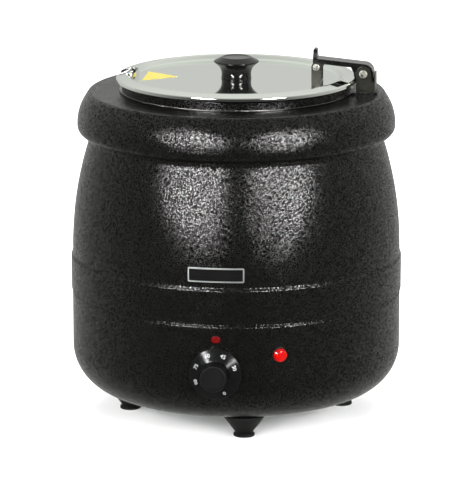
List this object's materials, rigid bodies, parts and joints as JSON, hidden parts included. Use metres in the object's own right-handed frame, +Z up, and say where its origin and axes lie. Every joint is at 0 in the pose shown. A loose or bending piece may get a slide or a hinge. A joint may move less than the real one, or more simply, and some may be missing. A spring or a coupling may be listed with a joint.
{
  "type": "soup kettle",
  "caption": "Round black electric soup kettle with a bulged casing, thick collar, mirror lid hinged at the side, lift-out steel pot, thermostat dial and pilot lamp.",
  "frame": {"origin": "on the surface that the kettle stands on, under the middle of its box", "axes": "+Z up; -Y is the control side with the dial; +X is the lid's hinge side; the ladle notch is on the -X side"},
  "size_m": [0.3411, 0.3862, 0.381],
  "materials": {
    "black_coating": "fine textured powder coat, half gloss",
    "lid_steel": "mirror polished stainless steel",
    "hinge_steel": "polished stainless steel",
    "bracket_steel": "dark brushed steel",
    "pot_steel": "brushed stainless steel",
    "well_steel": "satin stainless steel",
    "zinc_steel": "zinc plated",
    "base_steel": "zinc plated sheet",
    "knob_black": "glossy black phenolic",
    "dial_black": "glossy black plastic",
    "grip_black": "matt black plastic",
    "numeral_white": "printed white",
    "foot_rubber": "matt black rubber",
    "lamp_red": "clear red plastic",
    "lamp_housing": "black nylon",
    "mark_red": "red enamel",
    "badge_metal": "satin plate with a dark field",
    "badge_black": "blank gloss black field",
    "hoop_steel": "polished hoop",
    "sticker_yellow": "vinyl",
    "element_steel": "heat darkened",
    "thermostat_case": "pale moulded body",
    "copper_tube": "bare copper",
    "brass": "bare brass",
    "gland_nylon": "black nylon",
    "lead_brown": "silicone sleeve",
    "lead_blue": "silicone sleeve",
    "lead_white": "silicone sleeve"
  },
  "bodies": {
    "casing": {"upper_casing": "black_coating", "lower_casing": "black_coating", "collar_ring": "black_coating", "water_well": "well_steel", "clamp_studs": "zinc_steel", "clamp_nuts": "zinc_steel", "base_plate": "base_steel", "foot_front": "foot_rubber", "foot_right": "foot_rubber", "foot_rear": "foot_rubber", "foot_left": "foot_rubber", "foot_bolts": "zinc_steel", "foot_nuts": "zinc_steel", "heating_element": "element_steel", "element_clamp_plate": "zinc_steel", "tie_rods": "zinc_steel", "tie_nuts": "zinc_steel", "thermal_cutout": "thermostat_case", "sensor_bulb": "copper_tube", "capillary_tube": "copper_tube", "thermostat_body": "thermostat_case", "thermostat_spacers": "zinc_steel", "thermostat_screws": "zinc_steel", "pilot_lamp_lens": "lamp_red", "pilot_lamp_body": "lamp_housing", "pilot_lamp_nut": "lamp_housing", "index_mark": "mark_red", "name_badge": "badge_metal", "badge_field": "badge_black", "cable_gland": "gland_nylon", "gland_nut": "gland_nylon", "terminal_block": "lead_white", "terminal_screws": "brass", "earth_stud": "brass", "neutral_lead": "lead_blue", "live_lead": "lead_brown", "element_lead": "lead_white", "lamp_lead": "lead_white"},
    "dial": {"dial_skirt": "dial_black", "dial_grip": "grip_black", "thermostat_spindle": "zinc_steel"},
    "pot": {"soup_pot": "pot_steel", "carrier_ring": "black_coating", "carrier_trim": "hoop_steel", "hinge_bracket": "bracket_steel", "bracket_rivets": "zinc_steel", "hinge_pin": "zinc_steel", "hinge_pin_nut": "zinc_steel"},
    "lid": {"lid_disc": "lid_steel", "lid_knob": "knob_black", "knob_washer": "zinc_steel", "knob_screw": "zinc_steel", "hinge_arm": "hinge_steel", "lid_tab": "bracket_steel", "tab_rivets": "zinc_steel", "tab_screw": "zinc_steel", "tab_screw_nut": "zinc_steel", "lid_sticker": "sticker_yellow"}
  },
  "joints": [
    {"name": "dial_turn", "type": "hinge", "parent": "casing", "child": "dial", "pos_m": [0, -0.18, 0.0808], "axis": [0, 1, 0], "range_deg": [-153, 112]},
    {"name": "pot_lift", "type": "slide", "parent": "casing", "child": "pot", "axis": [0, 0, 1], "range_m": [0, 0.27]},
    {"name": "lid_hinge", "type": "hinge", "parent": "pot", "child": "lid", "pos_m": [0.1312, 0, 0.357], "axis": [0, 1, 0], "range_deg": [0, 100]}
  ]
}
